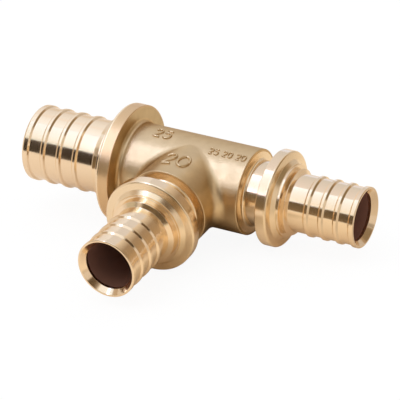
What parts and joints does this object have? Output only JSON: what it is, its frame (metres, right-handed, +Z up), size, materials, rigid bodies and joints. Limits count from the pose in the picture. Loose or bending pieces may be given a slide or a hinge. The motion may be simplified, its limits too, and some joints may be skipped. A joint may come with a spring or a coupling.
{
  "type": "pex reducing tee",
  "caption": "Brass reducing tee for plastic pipe: a large ribbed spigot at one end of the run, smaller ones at the other end and on the branch, with a collar behind each.",
  "frame": {"origin": "the point where the axes of the run and of the branch cross", "axes": "+X along the run towards its small spigot, -Y along the branch towards its mouth, +Z up when the tee lies flat"},
  "size_m": [0.1224, 0.0826, 0.0406],
  "materials": {
    "brass": "machined bright on the spigots, collars and necks, blasted matt on the forged body"
  },
  "bodies": {
    "root": {"tee_body": "brass"}
  },
  "joints": []
}
